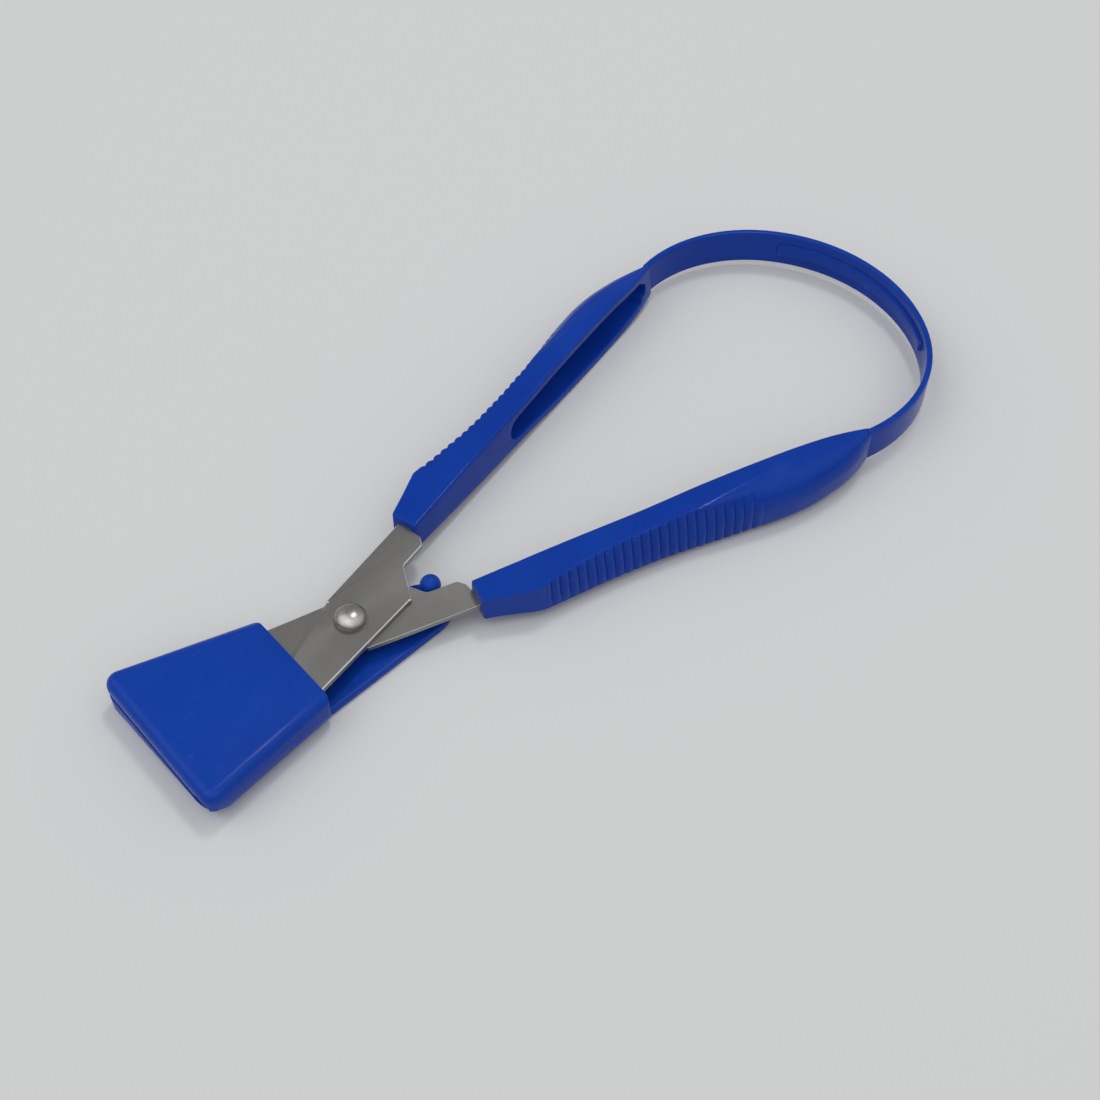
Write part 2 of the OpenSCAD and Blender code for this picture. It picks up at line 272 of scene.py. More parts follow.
def inward(outline):
    """For each corner of a closed outline, the step that moves both its sides in by 1."""
    area = outline[:, 0] * np.roll(outline[:, 1], -1) - np.roll(outline[:, 0], -1) * outline[:, 1]
    way = 1 if area.sum() > 0 else -1
    along = np.roll(outline, -1, axis=0) - outline
    along /= np.linalg.norm(along, axis=1)[:, None]
    normal = way * np.stack([-along[:, 1], along[:, 0]], axis=1)
    last = np.roll(normal, 1, axis=0)
    return (normal + last) / (1 + (normal * last).sum(axis=1))[:, None]


def plate(outline, profile):
    """A plate as loops of its outline, each drawn in by an inset at a height."""
    step = inward(outline)
    loops = []
    for inset, height in profile:
        inset = np.broadcast_to(inset, len(outline))
        height = np.broadcast_to(height, len(outline))
        flat = outline + step * inset[:, None]
        loops.append(np.column_stack([flat, height]))
    return skin(loops)


def edge_profile(low, high, low_r, high_r, steps):
    """Insets and heights that round the lower and upper edges of a plate."""
    turn = np.radians(np.linspace(0, 90, steps))
    profile = [(low_r * (1 - math.sin(a)), low + low_r * (1 - math.cos(a))) for a in turn]
    profile += [(high_r * (1 - math.cos(a)), high - high_r * (1 - math.sin(a))) for a in turn]
    return profile


def tangent(point, centre, radius, side):
    """Point where a line from point touches a circle."""
    d = np.array(centre, float) - point
    length = math.hypot(d[0], d[1])
    turn = math.atan2(d[1], d[0]) + side * math.asin(radius / length)
    reach = math.sqrt(length ** 2 - radius ** 2)
    return np.array(point) + reach * np.array([math.cos(turn), math.sin(turn)])


def smooth(x):
    """Rises from 0 to 1 as x does, with no slope at either end."""
    x = np.clip(x, 0, 1)
    return x * x * (3 - 2 * x)


# ---- Materials
# Noise scales are per metre, so a scale of 1000 has lumps of about a millimetre.

def add(tree, kind, props=None, **inputs):
    """Adds a shader node; each input is a value or another node's output."""
    made = tree.nodes.new(kind)
    for key, value in (props or {}).items():
        setattr(made, key, value)
    for key, value in inputs.items():
        socket = made.inputs[key.replace("_", " ")]
        if isinstance(value, bpy.types.NodeSocket):
            tree.links.new(value, socket)
        else:
            socket.default_value = value
    return made


def new_material(name):
    """An empty node material and its tree."""
    made = bpy.data.materials.new(name)
    made.use_nodes = True
    made.node_tree.nodes.clear()
    return made, made.node_tree


def noise(tree, where, scale, detail, roughness=0.55):
    """Cloudy noise, mostly between 0.3 and 0.7."""
    made = add(tree, "ShaderNodeTexNoise", Vector=where, Scale=scale, Detail=detail,
               Roughness=roughness)
    return made.outputs["Fac"]


def remap(tree, value, low, high, to_low, to_high):
    """Moves a value's range from low..high to to_low..to_high, and stops there."""
    made = add(tree, "ShaderNodeMapRange", Value=value, From_Min=low, From_Max=high,
               To_Min=to_low, To_Max=to_high)
    return made.outputs["Result"]


def mix(tree, amount, first, second):
    """Blends two colours by an amount from 0 to 1."""
    made = add(tree, "ShaderNodeMixRGB", Fac=amount, Color1=first, Color2=second)
    return made.outputs["Color"]


def stretch(tree, where, scale, turn):
    """Coordinates turned about Z and scaled along each axis, for marks that run one way."""
    made = add(tree, "ShaderNodeMapping", Vector=where, Scale=scale, Rotation=(0, 0, turn))
    return made.outputs["Vector"]


def maths(tree, how, a, b=0.0):
    """A sum, product or other function of two values."""
    made = tree.nodes.new("ShaderNodeMath")
    made.operation = how
    for socket, value in zip(made.inputs, (a, b)):
        if isinstance(value, bpy.types.NodeSocket):
            tree.links.new(value, socket)
        else:
            socket.default_value = value
    return made.outputs[0]


def output(tree, shader):
    """Makes a shader the material's surface."""
    add(tree, "ShaderNodeOutputMaterial", Surface=shader.outputs[0])


def plastic(name, colour, deep, worn, rough, wear, edges):
    """Moulded plastic with a mottled colour and a fine grain.

    wear is the strength of its scuffs and scratches, and edges of the rubbing along its edges.
    """
    made, tree = new_material(name)
    where = add(tree, "ShaderNodeTexCoord").outputs["Object"]
    mottle = noise(tree, where, 55.0, 3.0)
    base = mix(tree, remap(tree, mottle, 0.35, 0.65, 0.0, 1.0), colour, deep)
    # Edges that stand out have a pointiness above 0.5.
    point = add(tree, "ShaderNodeNewGeometry").outputs["Pointiness"]
    edge = remap(tree, point, 0.53, 0.6, 0.0, edges)
    patchy = remap(tree, noise(tree, where, 420.0, 5.0), 0.42, 0.66, 0.0, 1.0)
    base = mix(tree, maths(tree, "MULTIPLY", edge, patchy), base, worn)
    lines = noise(tree, stretch(tree, where, (260.0, 2600.0, 2600.0), 0.5), 1.0, 2.0)
    scratch = remap(tree, lines, 0.67, 0.75, 0.0, 0.22 * wear)
    scuff = remap(tree, noise(tree, where, 210.0, 7.0, 0.75), 0.66, 0.74, 0.0, 0.3 * wear)
    rubbed = maths(tree, "MAXIMUM", scratch, scuff)
    base = mix(tree, rubbed, base, worn)
    gloss = remap(tree, noise(tree, where, 130.0, 5.0, 0.65), 0.3, 0.7, rough - 0.06, rough + 0.09)
    gloss = maths(tree, "ADD", gloss, maths(tree, "MULTIPLY", rubbed, 0.5))
    grain = noise(tree, where, 2600.0, 3.0, 0.6)
    swell = noise(tree, where, 60.0, 1.0)
    height = maths(tree, "ADD", maths(tree, "MULTIPLY", grain, 0.1), swell)
    bump = add(tree, "ShaderNodeBump", Strength=0.32, Distance=0.0002, Height=height)
    shader = add(tree, "ShaderNodeBsdfPrincipled", Base_Color=base, Roughness=gloss,
                 Normal=bump.outputs["Normal"], IOR=1.46)
    shader.inputs["Specular IOR Level"].default_value = 0.16
    output(tree, shader)
    return made


def steel(name, colour, dark, painted_chamfer_highlight, rough, turn):
    """Ground stainless steel: brushed one way, stained and scratched, with a painted highlight on its 45
    degree chamfer.
    """
    made, tree = new_material(name)
    where = add(tree, "ShaderNodeTexCoord").outputs["Object"]
    brushed = stretch(tree, where, (700.0, 9000.0, 2500.0), turn)
    grain = noise(tree, brushed, 1.0, 5.0, 0.7)
    cloud = noise(tree, where, 160.0, 4.0, 0.6)
    base = mix(tree, remap(tree, grain, 0.3, 0.7, 0.0, 0.55), colour, dark)
    base = mix(tree, remap(tree, cloud, 0.45, 0.7, 0.0, 0.4), base, dark)
    # Only the chamfer's normal is about 45 degrees from upright, and there the colour is painted bright as
    # a highlight.
    facing = add(tree, "ShaderNodeNewGeometry").outputs["True Normal"]
    upright = add(tree, "ShaderNodeSeparateXYZ", Vector=facing).outputs["Z"]
    tilt = maths(tree, "ABSOLUTE", upright)
    above = remap(tree, tilt, 0.4, 0.6, 0.0, 1.0)
    below = remap(tree, tilt, 0.8, 0.88, 1.0, 0.0)
    # Painted highlight: the chamfer's colour is lifted towards near white, standing in for a bright
    # reflection along the edge.
    base = mix(tree, maths(tree, "MULTIPLY", above, below), base, painted_chamfer_highlight)
    cross = noise(tree, stretch(tree, where, (5200.0, 260.0, 800.0), turn + 0.6), 1.0, 2.0)
    scratch = remap(tree, cross, 0.69, 0.76, 0.0, 0.5)
    gloss = remap(tree, grain, 0.3, 0.7, rough - 0.07, rough + 0.1)
    gloss = maths(tree, "ADD", gloss, maths(tree, "MULTIPLY", scratch, 0.25))
    height = maths(tree, "SUBTRACT", grain, maths(tree, "MULTIPLY", scratch, 0.6))
    bump = add(tree, "ShaderNodeBump", Strength=0.16, Distance=0.00005, Height=height)
    shader = add(tree, "ShaderNodeBsdfPrincipled", Base_Color=base, Metallic=1.0,
                 Roughness=gloss, Normal=bump.outputs["Normal"], Anisotropic=0.25)
    output(tree, shader)
    return made


def polished(name, colour, dark, rough):
    """Polished metal with fine turning marks, dull specks and small dents."""
    made, tree = new_material(name)
    where = add(tree, "ShaderNodeTexCoord").outputs["Object"]
    speck = noise(tree, where, 1500.0, 5.0, 0.7)
    cloud = noise(tree, where, 400.0, 3.0)
    base = mix(tree, remap(tree, speck, 0.5, 0.72, 0.0, 0.6), colour, dark)
    gloss = remap(tree, cloud, 0.3, 0.7, rough - 0.05, rough + 0.08)
    bump = add(tree, "ShaderNodeBump", Strength=0.12, Distance=0.00003, Height=speck)
    shader = add(tree, "ShaderNodeBsdfPrincipled", Base_Color=base, Metallic=1.0,
                 Roughness=gloss, Normal=bump.outputs["Normal"])
    output(tree, shader)
    return made


def paper(name):
    """The pale floor's card, with the faintest unevenness."""
    made, tree = new_material(name)
    where = add(tree, "ShaderNodeTexCoord").outputs["Object"]
    cloud = noise(tree, where, 3.0, 2.0)
    base = mix(tree, cloud, (0.675, 0.68, 0.675, 1), (0.693, 0.693, 0.69, 1))
    grain = noise(tree, where, 1800.0, 3.0)
    bump = add(tree, "ShaderNodeBump", Strength=0.05, Distance=0.0001, Height=grain)
    shader = add(tree, "ShaderNodeBsdfPrincipled", Base_Color=base, Roughness=0.7,
                 Normal=bump.outputs["Normal"])
    shader.inputs["Specular IOR Level"].default_value = 0.1
    output(tree, shader)
    return made


BLUE = plastic("blue_plastic_look", (0.005, 0.046, 0.355, 1), (0.004, 0.039, 0.32, 1),
               (0.04, 0.13, 0.5, 1), 0.16, 0.38, 0.35)
GUARD_BLUE = plastic("guard_plastic_look", (0.005, 0.052, 0.385, 1), (0.004, 0.045, 0.35, 1),
                     (0.08, 0.19, 0.56, 1), 0.27, 0.8, 0.0)
# The blades' third colour is the painted highlight on their chamfer.
STEEL = steel("blade_steel_look", (0.32, 0.313, 0.298, 1), (0.262, 0.255, 0.24, 1),
              (0.9, 0.89, 0.87, 1), 0.34, -0.25)
NICKEL = polished("rivet_metal_look", (0.46, 0.45, 0.43, 1), (0.33, 0.32, 0.31, 1), 0.27)


# ---- Handles

def section(s):
    """The handle's section values at s, on a smooth curve through the sections."""
    at = SECTIONS[:, 0]
    last = len(at) - 1
    i = int(np.clip(np.searchsorted(at, s, side="right") - 1, 0, last - 1))
    a, b = SECTIONS[i], SECTIONS[i + 1]
    width = b[0] - a[0]
    before, after = SECTIONS[max(i - 1, 0)], SECTIONS[min(i + 2, last)]
    slope_a = (b - before) / (b[0] - before[0])
    slope_b = (after - a) / (after[0] - a[0])
    u = (s - a[0]) / width
    ends = (2 * u ** 3 - 3 * u * u + 1) * a + (3 * u * u - 2 * u ** 3) * b
    return ends + (u ** 3 - 2 * u * u + u) * width * slope_a + (u ** 3 - u * u) * width * slope_b


def ridge_cut(s):
    """Depth that the grip is cut back at s: ribs with round crests and narrow valleys.

    The cuts deepen over the first half rib and fade out over the last three.
    """
    n = (s - RIDGE_START) / RIDGE_PITCH
    if n <= 0 or n >= RIDGES:
        return 0.0
    fade = smooth(n / 0.5) * smooth((RIDGES - n) / 3)
    return RIDGE_DEPTH * fade * (1 - abs(math.sin(math.pi * n)) ** 0.9)


def outer_side(s, middle, outer, inner, half, low):
    """Points down the outer side at s: flat top, crisp edge, slanted band, side, lower edge.

    The side is nearly flat in front and a full bow at the rear. Its widest point is below the middle in
    front and at the middle at the rear.
    """
    edge = max(np.interp(s, EDGE[:, 0], EDGE[:, 1]), inner + 0.6)
    least = edge + 0.06
    out = max(np.interp(s, BAND[:, 0], BAND[:, 1]), least) if s >= BAND[0, 0] else least
    drop = np.interp(s, BAND[:, 0], BAND[:, 2])
    widest = -0.35 * half * (1 - smooth((s - REAR_START + 2) / 20))
    side_top = half - drop
    top = [(t, half) for t in np.linspace(inner + INNER_ROUND, edge - EDGE_ROUND, 6)]
    slant = np.array([out - edge, -drop])
    step = min(EDGE_ROUND / np.linalg.norm(slant), 0.4)
    corner = [(edge - 0.3 * EDGE_ROUND, half - 0.12 * EDGE_ROUND)]
    band = [(edge + slant[0] * u, half + slant[1] * u) for u in np.linspace(step, 0.96, 4)]
    sine = np.clip((out - middle) / max(outer - middle, 0.1), 0.05, 0.97)
    bowed = 0.35 + 0.65 * smooth((s - REAR_START) / 16)
    side = []
    for u in np.linspace(0.012, 1, 24):
        bow = (math.sqrt(1 - (1 - sine ** 2) * (1 - u) ** 2) - sine) / (1 - sine)
        share = (1 - bowed) * u + bowed * bow
        side.append((out + (outer - out) * share, side_top + (widest - side_top) * u))
    under = []
    for a in np.radians(np.linspace(0, 90, 17))[1:]:
        t = middle + (outer - middle) * max(math.cos(a), 0) ** low
        under.append((t, widest - (half + widest) * math.sin(a) ** low))
    return top + corner + band + side + under


def recess(s, half):
    """Half height and depth of the long recess in the inner face at s."""
    if not RECESS_START < s < RECESS_END:
        return 0.0, 0.0
    width = half - RECESS_WALL
    ends = ((s - RECESS_START, RECESS_FRONT_R), (RECESS_END - s, RECESS_BACK_R))
    for along, radius in ends:
        if along < radius:
            width = min(width, math.sqrt(radius ** 2 - (radius - along) ** 2))
    return width, float(np.interp(s, RECESS_DEPTH[:, 0], RECESS_DEPTH[:, 1]))


def inner_face(s, inner, half):
    """Points up the inner face, from its lower edge to its upper one, through the recess.

    heights and depths go down the upper half: face, rounded rim, wall, and the recess's rounded floor.
    Where there is no recess, all depths are 0.
    """
    width, depth = recess(s, half)
    open_w = max(width, 0.4)
    k = min(open_w, 1.0)
    top = half - INNER_ROUND
    rim = min(open_w + 0.35 * k, top - 0.05)
    heights = [top, (top + rim) / 2, rim, open_w + 0.08 * k, open_w, open_w - 0.03 * k,
               open_w - 0.22 * k, open_w - 0.5 * k, open_w * 0.3]
    depths = [0, 0, 0, 0.03, 0.16, 0.5, depth - 0.45, depth, depth + 0.15]
    depths = np.clip(depths, 0, max(depth, 0)) if depth > 0 else np.zeros(len(depths))
    upper = [(inner + d, z) for z, d in zip(heights, depths)]
    lower = [(t, -z) for t, z in upper]
    return lower + [(inner + float(depths[-1]), 0.0)] + upper[::-1]


def handle_ring(s, shrink=0.0):
    """One closed ring of the handle at s: along, out and up. shrink draws it in, to round an end."""
    outer, inner, height, low = section(s)[1:]
    half = height / 2
    middle = inner + 0.4 * (outer - inner)
    ring = np.array(outer_side(s, middle, outer, inner, half, low))
    t, z = ring[:, 0], ring[:, 1]
    # The ridges notch the upper edge in front, stop below the crease at the rear, and fade out low down.
    edge = np.interp(s, EDGE[:, 0], EDGE[:, 1])
    drop = np.interp(s, BAND[:, 0], BAND[:, 2])
    outside = smooth((t - edge + 0.9) / 0.8)
    notch = 0.8 * (1 - smooth((s - REAR_START) / 8))
    near_top = notch + (1 - notch) * smooth((half - drop - z) / 1.2)
    near_low = 1 - 0.9 * smooth((-z - half + 1.9) / 1.5)
    t = t - ridge_cut(s) * outside * near_top * near_low
    turn = np.radians([0, 22.5, 45, 67.5])
    bend = [(inner + INNER_ROUND * (1 - math.sin(a)), half - INNER_ROUND * (1 - math.cos(a)))
            for a in turn]
    low_bend = [(a, -b) for a, b in bend]
    ring = list(zip(t, z)) + low_bend + inner_face(s, inner, half) + bend[:0:-1]
    ring = np.array(ring)
    lean = smooth((middle - ring[:, 0]) / (middle - inner)) * (half - ring[:, 1]) / height
    ring[:, 0] -= DRAFT * lean
    centre = np.array([(outer + inner) / 2, 0])
    if shrink:
        away = ring - centre
        length = np.linalg.norm(away, axis=1)[:, None]
        ring = centre + away * (1 - shrink / np.maximum(length, shrink * 2))
    return np.column_stack([np.full(len(ring), s), ring])


def handle_stations():
    """Distances along the handle of its rings: eight to a ridge, and close where the recess ends."""
    parts = [np.arange(1, RIDGE_START, 1.0)]
    end = RIDGE_START + RIDGES * RIDGE_PITCH
    parts.append(np.linspace(RIDGE_START, end, RIDGES * 8 + 1))
    parts.append(np.arange(end + 0.5, HANDLE_LEN - 0.6, 0.6))
    for start in (RECESS_START, RECESS_END - 1.2):
        parts.append(start + np.array([-0.02, 0.02, 0.15, 0.35, 0.7, 1.18]))
    parts.append([RECESS_END + 0.02])
    every = np.sort(np.concatenate(parts))
    return every[np.concatenate([[True], np.diff(every) > 0.012])]


def in_handle(points):
    """Handle coordinates (along, out, up) to the closed half's."""
    p = np.array(points, float).reshape(-1, 3)
    c, s = math.cos(TOE), math.sin(TOE)
    x = HANDLE[0] + c * p[:, 0] - s * p[:, 1]
    y = HANDLE[1] + s * p[:, 0] + c * p[:, 1]
    return np.stack([x, y, p[:, 2]], axis=1)


def make_handle(name, side, body, node):
    """One grip: a skin over its rings, with both ends drawn in a little."""
    rings = [handle_ring(0, 0.3), handle_ring(0.08, 0.08), handle_ring(0.3)]
    rings += [handle_ring(s) for s in handle_stations()]
    rings += [handle_ring(HANDLE_LEN - 0.25), handle_ring(HANDLE_LEN, 0.2)]
    points, faces = skin(rings)
    made = solid(name, placed(in_handle(points), side), faces, BLUE, 38)
    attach(made, body)
    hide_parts(node)


# ---- Loop

def strap_section(rise):
    """The strap's section: in from its outer face, and up. rise is the rib's share of its full size."""
    half, r = STRAP_H / 2, STRAP_ROUND
    outer_face = [(0, z) for z in np.linspace(-half + r, half - r, 5)]
    bend = [(r * (1 - math.cos(a)), half - r * (1 - math.sin(a)))
            for a in np.radians([30, 60, 90])]
    inner_bend = [(STRAP_T - d, z) for d, z in bend[::-1]]
    rib = RIB_HALF * max(rise, 0.05)
    heights = [half - r, 2.6, rib + 0.16, rib + 0.03, rib - 0.06, rib * 0.5]
    outs = [0, 0, 0, 0.2, RIB_T - 0.06, RIB_T]
    tall = [(STRAP_T + d * min(1, rise * 1.5), z) for d, z in zip(outs, heights)]
    tall_low = [(d, -z) for d, z in tall[::-1]]
    low = [(d, -z) for d, z in inner_bend[::-1]]
    low_out = [(d, -z) for d, z in bend[::-1]]
    return outer_face + bend + inner_bend + tall + tall_low + low + low_out


def strap_path():
    """The strap's outer face from the upper grip to the loop's far end, as two arcs that meet smoothly.

    Each row is a point, the direction out, and the degrees past the place where the arcs meet.
    """
    gap = CORNER[0] - (REACH - CORNER_R)
    far_r = CORNER_R - (gap ** 2 + CORNER[1] ** 2) / (2 * gap)
    far = np.array([REACH - far_r, 0])
    half = math.degrees(math.atan2(CORNER[1], CORNER[0] - far[0]))
    origin = in_handle([[0, 0, 0]])[0, :2]
    c, s = math.cos(OPEN), math.sin(OPEN)
    origin = np.array([c * origin[0] - s * origin[1], s * origin[0] + c * origin[1]])
    way = math.degrees(OPEN + TOE)
    along = np.array([math.cos(math.radians(way)), math.sin(math.radians(way))])
    reach = HANDLE_LEN - STRAP_INSIDE - (CORNER - origin) @ along
    start = way + math.degrees(math.acos(reach / CORNER_R))
    turn = np.concatenate([np.linspace(start, half, 60)[:-1], np.linspace(half, 0, 50)])
    rows = []
    for a in turn:
        centre, radius = (CORNER, CORNER_R) if a > half else (far, far_r)
        out = np.array([math.cos(math.radians(a)), math.sin(math.radians(a))])
        rows.append((centre + radius * out, out, half - a))
    return rows


def make_strap(name, side):
    """Half of the loop, drawn fixed where it lies; on the real scissors it bends with the grip at one end
    and stays with the pivot at the other.

    The lean grows along the first part of the strap and is full where the loop's halves meet.
    """
    rings = []
    path = strap_path()
    for i, (point, out, past) in enumerate(path):
        lean = STRAP_LEAN * smooth(1.6 * i / len(path))
        grown = min(max((past - RIB_START_DEG) / RIB_RISE_DEG, 0), 1)
        rise = math.sqrt(1 - (1 - grown) ** 2)
        ring = []
        for inset, z in strap_section(rise):
            flat = point - out * inset
            ring.append((flat[0], side * flat[1] - lean, z))
        rings.append(ring)
    points, faces = skin(rings)
    world = placed(points)
    made = solid(name, world, faces, BLUE, 34)
    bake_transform(made)
    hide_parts("loop_strap")


# ---- Blades and rivet

def blade_outline():
    """Closed outline of a blade with its shank and tang, and how much of its edge is ground, 0 to 1."""
    first = tangent(EDGE_START, TIP, TIP_R, -1)
    last = tangent(SPINE_START, TIP, TIP_R, 1)
    a = math.degrees(math.atan2(*(first - TIP)[::-1]))
    b = math.degrees(math.atan2(*(last - TIP)[::-1])) % 360
    tip = arc(TIP, TIP_R, a, b, 20)
    x, y = HANDLE
    low, high = y + TANG_SIDES[0], y + TANG_SIDES[1]
    tang = [(x, low, 0), (x + TANG_LEN, low, 0), (x + TANG_LEN, high, 0), (x, high, 0)]
    rest = rounded([(*SPINE_START, 0.5), *SHANK_SIDE, (x, y + 0.5, 0), *tang, (x, SHANK_W, 0),
                    (EDGE_START[0] + 1.6, SHANK_W, 0.5)])
    edge = [EDGE_START + (first - EDGE_START) * u for u in np.linspace(0, 1, 9)[:-1]]
    outline = np.concatenate([edge, tip, rest])
    ground = np.concatenate([np.ones(len(edge)), smooth(np.linspace(1.4, -0.6, 20)),
                             np.zeros(len(rest))])
    return outline, ground


def make_blade(name, side, body, node):
    """One blade, with a wide bevel along its edge, a small chamfer elsewhere and a broken lower edge."""
    outline, ground = blade_outline()
    inset = CHAMFER + (BEVEL_W - CHAMFER) * ground
    rise = BLADE_T - CHAMFER - (BEVEL_H - CHAMFER) * ground
    points, faces = plate(outline, [(0.05, 0.01), (0, 0.06), (0, rise), (inset, BLADE_T)])
    if side == LOWER:
        points = points * np.array([1, 1, -1])
    made = solid(name, placed(points, side), faces, STEEL, 12)
    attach(made, body)
    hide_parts(node)


def make_rivet():
    """Domed head with a rolled rim, a hidden shank and a peened tail.

    The head and the tail are (radius, distance from the blades' outer faces).
    """
    head = [(0.3, 2.6), (0.9, 2.55), (1.5, 2.4), (2.05, 2.16), (2.5, 1.9), (2.85, 1.62),
            (3.05, 1.42), (3.15, 1.25), (3.17, 1.1), (3.1, 0.95), (2.95, 0.7), (2.85, 0.35), (2.8, 0)]
    tail = [(2.75, 0), (2.8, 0.15), (2.7, 0.45), (2.3, 0.7), (1.5, 0.8), (0.9, 0.72), (0.4, 0.55)]
    face = BLADE_T + 0.02
    profile = [(radius, face + away) for radius, away in head]
    profile += [(2.0, face), (2.0, -face)]
    profile += [(radius, -face - away) for radius, away in tail]
    points, faces = lathe(profile, (0, 0), 96)
    made = solid("rivet", placed(points), faces, NICKEL, 40)
    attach(made, "pivot")
    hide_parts("pivot_rivet")


# ---- Blade guard

def circle(centre, radius):
    """Points of a whole circle in the plane."""
    return arc(centre, radius, 0, 360, 73)[:-1]


def hull(circles):
    """Outline of a band stretched round circles of (x, y, radius)."""
    spread = [circle((x, y), r) for x, y, r in circles]
    points = sorted(set(tuple(np.round(p, 6)) for p in np.concatenate(spread)))
    halves = []
    for ordered in (points, points[::-1]):
        chain = []
        for p in ordered:
            while len(chain) > 1 and turns_right(chain[-2], chain[-1], p):
                chain.pop()
            chain.append(p)
        halves += chain[:-1]
    return np.array(halves)


def turns_right(a, b, c):
    """Whether the path from a to b to c turns right or runs straight on."""
    return (b[0] - a[0]) * (c[1] - a[1]) - (b[1] - a[1]) * (c[0] - a[0]) <= 1e-9


def guard_shell():
    """The sleeve's outer shape, a hull drawn out past its mouth; its right side is a round fold.

    The sides slant, so the corners' circles are moved sideways until the sides lie on the outline.
    """
    r, over = GUARD_CORNER_R, 3 * PAST
    rear = over - GUARD_REAR
    left, right = REAR_LEFT - LEFT_SLOPE * over, REAR_RIGHT + RIGHT_SLOPE * over
    fold_z = TABLE_Z + FOLD_R
    posts = [(r - GUARD_FRONT, FRONT_LEFT - r - 0.6, TABLE_Z, LOW_ROUND),
             (rear - r, left - r + 0.55, TABLE_Z, LOW_ROUND),
             (r - GUARD_FRONT, FRONT_RIGHT + r + 0.3, fold_z, 0),
             (rear - r, right + r - 0.25, fold_z, 0)]
    points = []
    for x, y, low, low_r in posts:
        for inset, z in edge_profile(low, GUARD_TOP, low_r, TOP_ROUND, 8):
            points += [(a, b, z) for a, b in circle((x, y), r - inset)]
    for x in (FOLD_R - GUARD_FRONT, rear - FOLD_R):
        y = REAR_RIGHT + RIGHT_SLOPE * (x + GUARD_REAR) + FOLD_R
        for turn in np.radians(np.linspace(0, 88, 15)):
            ring = circle((x, y), FOLD_R * math.cos(turn))
            points += [(a, b, fold_z - FOLD_R * math.sin(turn)) for a, b in ring]
    mesh = bpy.data.meshes.new("shell")
    edit = bmesh.new()
    verts = [edit.verts.new(tuple(p)) for p in placed(points)]
    bmesh.ops.convex_hull(edit, input=verts)
    spare = [v for v in edit.verts if not v.link_faces]
    bmesh.ops.delete(edit, geom=spare, context="VERTS")
    bmesh.ops.dissolve_limit(edit, angle_limit=math.radians(0.2), verts=edit.verts,
                             edges=edit.edges)
    bmesh.ops.recalc_face_normals(edit, faces=edit.faces)
    edit.to_mesh(mesh)
    edit.free()
    made = bpy.data.objects.new("blade_guard", mesh)
    bpy.context.scene.collection.objects.link(made)
    finish_mesh(made, GUARD_BLUE)
    return made


def mouth_cutter():
    """Everything behind the sleeve's mouth, with a round corner at each side."""
    x, left_r, right_r = -GUARD_REAR, 2.4, 1.5
    left_y, right_y = REAR_LEFT + 0.1, REAR_RIGHT - 0.1
    left = arc((x - left_r, left_y - left_r), left_r, 74, 0, 8)
    right = arc((x - right_r, right_y + right_r), right_r, 0, -70, 6)
    back, wide, ahead = x + 8, 20, x - right_r
    outside = [(ahead, -wide), (back, -wide), (back, wide), (ahead, wide)]
    return np.concatenate([[(x - left_r, left_y + 1.2)], left, right, [(ahead, right_y - 1.2)],
                           outside])


def prism(name, outline, low, high):
    """An outline drawn up from low to high, for a cut or a join."""
    points, faces = plate(np.array(outline, float), [(0, low), (0, high)])
    return solid(name, placed(points), faces, GUARD_BLUE)


def combine(base, other, how):
    """Joins other to base, or cuts it out of base, and removes it."""
    modifier = base.modifiers.new(how, "BOOLEAN")
    modifier.operation = how
    modifier.solver = "EXACT"
    modifier.object = other
    bake(base)
    bpy.data.objects.remove(other)


def bake(made):
    """Applies an object's modifiers."""
    bpy.context.view_layer.update()
    shape = made.evaluated_get(bpy.context.evaluated_depsgraph_get())
    mesh = bpy.data.meshes.new_from_object(shape)
    made.modifiers.clear()
    made.data = mesh


def tongue_outline():
    """The tongue narrows from the sleeve's mouth to its round end. It starts inside the sleeve."""
    r = 0.6
    circles = [TONGUE_END]
    for x, (left, right) in ((-GUARD_REAR, TONGUE_MOUTH), (-GUARD_REAR - 4, TONGUE_ROOT)):
        circles += [(x, left - r, r), (x, right + r, r)]
    return hull(circles)


def stud_profile():
    """The stud at the tongue's end: a flared foot, a neck and a ball with a small flat."""
    foot = [(2.3, -0.5), (2.3, 0.05), (1.85, 0.2), (1.55, 0.5), (1.42, 0.95)]
    profile = [(radius, PLATE_TOP + height) for radius, height in foot]
    for a in np.radians(np.linspace(-48, 80, 17)):
        profile.append((BALL_R * math.cos(a), BALL_Z + BALL_R * math.sin(a)))
    return profile


def pocket_outline(fold_in):
    """The sleeve's hollow, open at the mouth; fold_in is how far it stays inside the right side."""
    front, rear = FRONT_WALL - GUARD_FRONT, PAST - GUARD_REAR
    return [(front, FRONT_LEFT - SIDE_WALL - LEFT_SLOPE * FRONT_WALL),
            (front, FRONT_RIGHT + fold_in + RIGHT_SLOPE * FRONT_WALL),
            (rear, REAR_RIGHT + fold_in - RIGHT_SLOPE * PAST),
            (rear, REAR_LEFT - SIDE_WALL - LEFT_SLOPE * PAST)]


def slot_outline():
    """The slot, an angle from the fold along the front to the left side's end."""
    front, rear, right = -GUARD_FRONT - PAST, PAST - GUARD_REAR, FRONT_RIGHT + FOLD_SOLID
    inside, beyond = FRONT_WALL - GUARD_FRONT + 2, 30
    return [(inside, right), (inside, SLOT_LEFT), (-GUARD_REAR - 3, SLOT_LEFT), (rear, SLOT_LEFT),
            (rear, beyond), (front, beyond), (front, right)]


def hole_cutter():
    """A round bar that lies along X, for the hole that ends the slot."""
    points, faces = lathe([(HOLE_R, 0), (HOLE_R, HOLE_DEPTH + PAST)], (0, 0), 40)
    lying = np.stack([points[:, 2] - GUARD_FRONT - PAST, HOLE[0] + points[:, 0],
                      HOLE[1] + points[:, 1]], axis=1)
    return solid("hole", placed(lying), faces, GUARD_BLUE)


